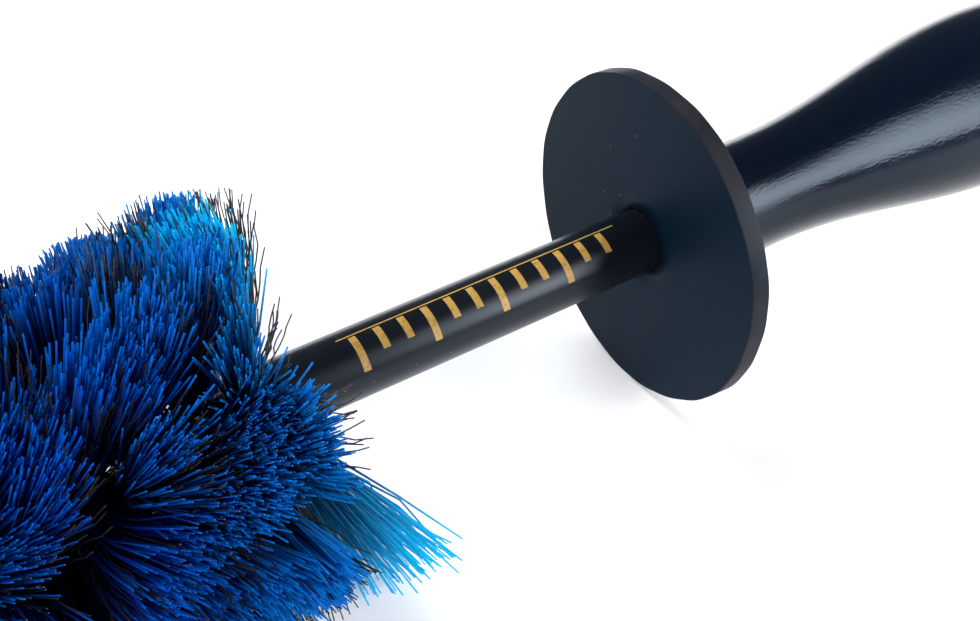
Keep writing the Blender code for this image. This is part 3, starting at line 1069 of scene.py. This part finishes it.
class WHEELBRUSH_OT_handle(bpy.types.Operator):
    """Turn the lacquered handle"""

    bl_idname = "wheelbrush.handle"
    bl_label = "Handle"

    def execute(self, context):
        sizes = context.scene.wheel_brush_sizes
        neck, swell = sizes.neck_radius, sizes.swell_radius
        dome_at = HANDLE_LENGTH - DOME_LENGTH
        dome_steps, round_steps = 12, 6
        profile = [(0.0, HANDLE_LENGTH), (BUTT_FLAT * 0.5, HANDLE_LENGTH)]
        for step in range(dome_steps + 1):
            angle = math.pi / 2 * (1 - step / dome_steps)
            radius = BUTT_FLAT + (SHOULDER_RADIUS - BUTT_FLAT) * math.cos(angle)
            profile.append((radius, dome_at + DOME_LENGTH * math.sin(angle)))
        runs = (
            (SHOULDER_RADIUS, dome_at, swell, SWELL_AT, 16),
            (swell, SWELL_AT, neck, NECK_AT, 32),
            (neck, NECK_AT, FRONT_RADIUS, FRONT_ROUND, 12),
        )
        for start, start_at, end, end_at, steps in runs:
            for step in range(1, steps + 1):
                share = step / steps
                profile.append((eased(start, end, share), start_at + (end_at - start_at) * share))
        for step in range(1, round_steps + 1):
            angle = math.pi / 2 * step / round_steps
            radius = FRONT_RADIUS - FRONT_ROUND * (1 - math.cos(angle))
            profile.append((radius, FRONT_ROUND * (1 - math.sin(angle))))
        seat, seat_end = sizes.sleeve_radius + CLEARANCE, SLEEVE_SEAT + CLEARANCE
        profile += [(seat, 0.0), (seat, seat_end), (0.0, seat_end)]
        handle = lay_down(turned_mesh("turned_handle", profile, ring=False, steps=128))
        handle.data.materials.append(lacquer_material(context.scene.wheel_brush_colours))
        settle(handle, "brush", "black_lacquer", "handle")
        return {"FINISHED"}


class WHEELBRUSH_OT_guard(bpy.types.Operator):
    """Cut the rubber splash guard"""

    bl_idname = "wheelbrush.guard"
    bl_label = "Splash guard"

    def execute(self, context):
        sizes = context.scene.wheel_brush_sizes
        radius, hole = sizes.guard_radius, sizes.sleeve_radius + CLEARANCE
        face = radius * FACE_SHARE
        corners = [(face, GUARD_BACK), (radius, GUARD_BACK), (radius, GUARD_FRONT), (face, GUARD_FRONT)]
        rings = 9
        front = [(face + (hole - face) * i / rings, GUARD_FRONT) for i in range(1, rings + 1)]
        back = [(hole + (face - hole) * i / rings, GUARD_BACK) for i in range(rings)]
        profile = rounded(corners, EDGE_ROUND) + front + back
        guard = turned_mesh("rubber_guard", profile, ring=True, steps=160)
        self.cut_by_hand(guard.data, radius, hole)
        guard.data.transform(self.lean())
        lay_down(guard)
        guard.data.materials.append(rubber_material(context.scene.wheel_brush_colours))
        settle(guard, "guard", "black_rubber", "splash_guard")
        return {"FINISHED"}

    def cut_by_hand(self, mesh, radius, hole):
        """Marks the cut rim for the material, makes the edge uneven and warps the sheet a little."""
        warp_height, warp_waves, warp_start = WARP_WAVE
        rim = mesh.attributes.new("rim", "FLOAT", "POINT")
        for vertex in mesh.vertices:
            x, y, z = vertex.co
            outward = math.hypot(x, y)
            turn = math.atan2(y, x)
            rim_share = (outward - radius * (1 - RIM_SHARE)) / (radius * RIM_SHARE)
            rim.data[vertex.index].value = max(0.0, min(1.0, rim_share))
            wobble = sum(height * math.sin(waves * turn + start) for height, waves, start in EDGE_WAVES)
            grow = max(0.0, (outward - hole) / (radius - hole))
            scale = 1 + grow * wobble / outward
            warp = grow * warp_height * (math.sin(warp_waves * turn + warp_start) - 1)
            vertex.co = (x * scale, y * scale, z + warp)

    def lean(self):
        """The guard hangs loose on the sleeve: it leans a little and touches the handle with one side."""
        middle = Vector((0.0, 0.0, GUARD_FRONT))
        turn = Vector((0.0, 0.0, 1.0)).rotation_difference(GUARD_FACING).to_matrix().to_4x4()
        shift = Matrix.Translation((0.0, 0.0, GUARD_SHIFT))
        return shift @ Matrix.Translation(middle) @ turn @ Matrix.Translation(-middle)


class WHEELBRUSH_OT_sleeve(bpy.types.Operator):
    """Draw the vinyl sleeve over the stem"""

    bl_idname = "wheelbrush.sleeve"
    bl_label = "Stem sleeve"

    def execute(self, context):
        outer = context.scene.wheel_brush_sizes.sleeve_radius
        inner = outer - SLEEVE_WALL
        low, high = HEAD_BACK + SLEEVE_SETBACK, SLEEVE_SEAT
        rings = 24
        outside = [(outer, high + (low - high) * i / rings) for i in range(rings + 1)]
        profile = rounded([(inner, high)] + outside + [(inner, low)], EDGE_ROUND)
        sleeve = lay_down(turned_mesh("vinyl_sleeve", profile, ring=True, steps=96))
        sleeve.data.materials.append(vinyl_material(context.scene.wheel_brush_colours))
        settle(sleeve, "brush", "black_vinyl", "stem_sleeve")
        return {"FINISHED"}


class WHEELBRUSH_OT_marks(bpy.types.Operator):
    """Print the plain gold depth marks on the sleeve"""

    bl_idname = "wheelbrush.marks"
    bl_label = "Sleeve marks"

    def execute(self, context):
        radius = context.scene.wheel_brush_sizes.sleeve_radius
        shape = bmesh.new()
        start = HEAD_BACK + SCALE_START
        foot = SCALE_FOOT + TICK_GAP
        for mark in range(TICK_COUNT):
            height = start + mark * TICK_SPACING
            rise = LONG_TICK if mark % LONG_EVERY == 0 else SHORT_TICK
            self.patch(shape, radius, (foot, foot + rise), (height, height + TICK_WIDTH))
        line = (start - SCALE_LEAD, start + TICK_COUNT * TICK_SPACING)
        self.patch(shape, radius, (SCALE_FOOT - LINE_WIDTH, SCALE_FOOT), line)
        bmesh.ops.recalc_face_normals(shape, faces=shape.faces)
        mesh = bpy.data.meshes.new("gold_marks")
        shape.to_mesh(mesh)
        shape.free()
        marks = lay_down(add_piece("gold_marks", mesh, gold_material(context.scene.wheel_brush_colours)))
        settle(marks, "brush", "black_vinyl")
        return {"FINISHED"}

    def patch(self, shape, radius, bearings, heights):
        """Adds a thin closed film on the sleeve between two bearings and two heights."""
        start, end = bearings
        columns = max(2, math.ceil(abs(end - start) / FILM_STEP))
        steps = [start + (end - start) * column / columns for column in range(columns + 1)]
        width = columns + 1
        inside, outside = (
            [
                shape.verts.new((film * math.cos(bearing), film * math.sin(bearing), height))
                for height in heights
                for bearing in steps
            ]
            for film in (radius - FILM_HALF, radius + FILM_HALF)
        )
        for a in range(columns):
            b = a + 1
            for ring in (inside, outside):
                shape.faces.new((ring[a], ring[b], ring[width + b], ring[width + a]))
        borders = [(row + a, row + a + 1) for a in range(columns) for row in (0, width)]
        for a, b in borders + [(0, width), (columns, width + columns)]:
            shape.faces.new((inside[a], inside[b], outside[b], outside[a]))


class WHEELBRUSH_OT_core(bpy.types.Operator):
    """Finish the twisted wire, the resin in the handle and the cap at the tip"""

    bl_idname = "wheelbrush.core"
    bl_label = "Wire core and cap"

    def execute(self, context):
        for node, material in (("core_wire", wire_material()), ("stem_bond", resin_material())):
            mesh = frame["nodes"][node].data
            mesh.materials.clear()
            mesh.materials.append(material)
        outer = half_width("tip_cap")
        inner = outer - CAP_WALL
        back = HEAD_BACK - HEAD_TURNS * context.scene.wheel_brush_sizes.twist_pitch - CAP_GAP
        floor = back - CAP_SKIRT - inner
        dome_steps = 12
        profile = [(0.0, floor), (inner, floor), (inner, back), (outer, back)]
        for step in range(dome_steps):
            angle = math.pi / 2 * step / dome_steps
            profile.append((outer * math.cos(angle), floor - CAP_DOME * math.sin(angle)))
        profile.append((0.0, floor - CAP_DOME))
        cap = lay_down(turned_mesh("dipped_cap", profile, ring=False, steps=64))
        cap.data.materials.append(cap_material())
        settle(cap, "brush", "cap_rubber", "tip_cap")
        return {"FINISHED"}


class WHEELBRUSH_OT_blue_filaments(bpy.types.Operator):
    """Grow the straight blue filaments, turn by turn"""

    bl_idname = "wheelbrush.blue_filaments"
    bl_label = "Blue filaments"

    def execute(self, context):
        sizes = context.scene.wheel_brush_sizes
        material = blue_material(context.scene.wheel_brush_colours)
        for turn in range(HEAD_TURNS):
            values = {**head_values(sizes, turn), **blue_values(sizes)}
            values["Seed"] = sizes.seed + TURN_SEEDS * turn
            piece = grow_filaments(f"blue_filaments_{turn + 1}", material, values)
            settle(piece, "brush", "blue_filament", f"blue_bristles_{turn + 1}")
        return {"FINISHED"}


class WHEELBRUSH_OT_black_filaments(bpy.types.Operator):
    """Grow the crimped black filaments, turn by turn"""

    bl_idname = "wheelbrush.black_filaments"
    bl_label = "Black filaments"

    def execute(self, context):
        sizes = context.scene.wheel_brush_sizes
        material = black_material(context.scene.wheel_brush_colours)
        for turn in range(HEAD_TURNS):
            values = {**head_values(sizes, turn), **black_values(sizes)}
            values["Seed"] = sizes.seed + BLACK_SEEDS + TURN_SEEDS * turn
            piece = grow_filaments(f"black_filaments_{turn + 1}", material, values)
            settle(piece, "brush", "black_filament", f"black_bristles_{turn + 1}")
        return {"FINISHED"}


class WHEELBRUSH_OT_stage(bpy.types.Operator):
    """Set out the floor, the lamps and the camera"""

    bl_idname = "wheelbrush.stage"
    bl_label = "Stage"

    def execute(self, context):
        scene = context.scene
        stage = scene.wheel_brush_stage
        scene.view_settings.view_transform = "Standard"
        self.floor(scene, stage)
        self.world(scene)
        self.lamps(scene, stage)
        self.camera(scene, stage)
        return {"FINISHED"}

    def floor(self, scene, stage):
        """A white floor that is lifted a little where the camera, gloss or glass sees it."""
        half_side = 3.0
        shape = bmesh.new()
        bmesh.ops.create_grid(shape, x_segments=1, y_segments=1, size=half_side)
        mesh = bpy.data.meshes.new("floor")
        shape.to_mesh(mesh)
        shape.free()
        constants = {
            "Base Color": (*scene.wheel_brush_colours.floor, 1.0),
            "Roughness": 0.9,
            "Specular IOR Level": 0.0,
            "Emission Color": (1.0, 1.0, 1.0, 1.0),
        }
        material, tree, shader = new_material("white_floor", constants)
        path = tree.nodes.new("ShaderNodeLightPath").outputs
        seen = maths(tree, "MAXIMUM", path["Is Camera Ray"], path["Is Glossy Ray"])
        seen = maths(tree, "MAXIMUM", seen, path["Is Transmission Ray"])
        tree.links.new(maths(tree, "MULTIPLY", seen, stage.floor_lift), shader.inputs["Emission Strength"])
        add_piece("floor", mesh, material)

    def world(self, scene):
        """A faint bluish room light."""
        world = bpy.data.worlds.new("studio")
        world.use_nodes = True
        background = world.node_tree.nodes["Background"]
        background.inputs["Color"].default_value = (0.80, 0.89, 1.0, 1.0)
        background.inputs["Strength"].default_value = 0.12
        scene.world = world

    def lamps(self, scene, stage):
        """Four softboxes: name, place, aim, size, spread in degrees, colour."""
        softboxes = (
            ("key", (0.45, -0.28, 0.24), (0.45, 0.10, 0.06), (0.45, 0.36), 90, (1.0, 0.98, 0.96)),
            ("front", (-0.60, -0.25, 0.30), (-0.22, -0.02, 0.02), (0.50, 0.30), 70, (1.0, 1.0, 1.0)),
            ("side", (0.45, -0.35, 0.15), (-0.04, -0.02, 0.01), (0.50, 0.30), 50, (1.0, 1.0, 1.0)),
            ("back", (0.20, 0.85, 0.60), (-0.08, 0.0, 0.03), (0.90, 0.70), 180, (0.96, 0.98, 1.0)),
        )
        for name, place, aim, size, spread, colour in softboxes:
            light = bpy.data.lights.new(name, "AREA")
            light.shape = "RECTANGLE"
            light.size, light.size_y = size
            light.spread = radians(spread)
            light.energy = getattr(stage, f"{name}_power")
            light.color = colour
            lamp = bpy.data.objects.new(name, light)
            lamp.location = place
            lamp.rotation_euler = (Vector(place) - Vector(aim)).to_track_quat("Z", "Y").to_euler()
            lamp.visible_camera = False
            # The back lamp leaves no mirror image, so the top of the sleeve stays dark
            lamp.visible_glossy = name != "back"
            scene.collection.objects.link(lamp)

    def camera(self, scene, stage):
        """The camera's place and turn come from the splash guard's centre and the brush's axis as the
        picture shows them: sight is the centre of the guard's front face, and lie the axis, in the
        camera's own directions (right, down and forward)."""
        sight = Vector((0.02863, -0.01347, 0.28575))
        lie = Vector((0.8137, -0.3520, 0.4625)).normalized()
        slope = math.hypot(lie.y, lie.z)
        pitch = math.acos(AXIS.z / slope) - math.atan2(lie.z, -lie.y)
        ahead = lie.z * math.cos(pitch) - lie.y * math.sin(pitch)
        heading = math.atan2(AXIS.y, AXIS.x) - math.atan2(ahead, lie.x)
        right = Vector((math.cos(heading), math.sin(heading), 0.0))
        level = Vector((-math.sin(heading), math.cos(heading), 0.0))
        forward = level * math.cos(pitch) - Vector((0.0, 0.0, math.sin(pitch)))
        down = forward.cross(right)
        centre = FRONT_FACE + AXIS * GUARD_FRONT
        eye = centre - right * sight.x - down * sight.y - forward * sight.z
        data = bpy.data.cameras.new("camera")
        data.sensor_width = 36.0
        data.lens = stage.focal_length
        data.clip_start = 0.005
        camera = bpy.data.objects.new("camera", data)
        turn = Matrix((right, -down, -forward)).transposed().to_4x4()
        turn.translation = eye
        camera.matrix_world = turn
        scene.collection.objects.link(camera)
        scene.camera = camera


class WHEELBRUSH_PT_panel(bpy.types.Panel):
    """Lists the brush's pieces and their sizes"""

    bl_idname = "WHEELBRUSH_PT_panel"
    bl_label = "Wheel Brush"
    bl_space_type = "VIEW_3D"
    bl_region_type = "UI"
    bl_category = "Wheel Brush"

    def draw(self, context):
        layout = self.layout
        scene = context.scene
        for settings in (scene.wheel_brush_sizes, scene.wheel_brush_colours, scene.wheel_brush_stage):
            box = layout.box()
            for name in settings.__annotations__:
                box.prop(settings, name)
        for operator in OPERATORS:
            layout.operator(operator.bl_idname)


OPERATORS = (
    WHEELBRUSH_OT_stage,
    WHEELBRUSH_OT_handle,
    WHEELBRUSH_OT_guard,
    WHEELBRUSH_OT_sleeve,
    WHEELBRUSH_OT_marks,
    WHEELBRUSH_OT_core,
    WHEELBRUSH_OT_blue_filaments,
    WHEELBRUSH_OT_black_filaments,
)
SETTINGS = (WheelBrushSizes, WheelBrushColours, WheelBrushStage)
CLASSES = SETTINGS + OPERATORS + (WHEELBRUSH_PT_panel,)


def register():
    for cls in CLASSES:
        bpy.utils.register_class(cls)
    bpy.types.Scene.wheel_brush_sizes = PointerProperty(type=WheelBrushSizes)
    bpy.types.Scene.wheel_brush_colours = PointerProperty(type=WheelBrushColours)
    bpy.types.Scene.wheel_brush_stage = PointerProperty(type=WheelBrushStage)


def unregister():
    del bpy.types.Scene.wheel_brush_stage
    del bpy.types.Scene.wheel_brush_colours
    del bpy.types.Scene.wheel_brush_sizes
    for cls in reversed(CLASSES):
        bpy.utils.unregister_class(cls)


def main():
    register()
    for operator in OPERATORS:
        group, name = operator.bl_idname.split(".")
        getattr(getattr(bpy.ops, group), name)()


if __name__ == "__main__":
    main()
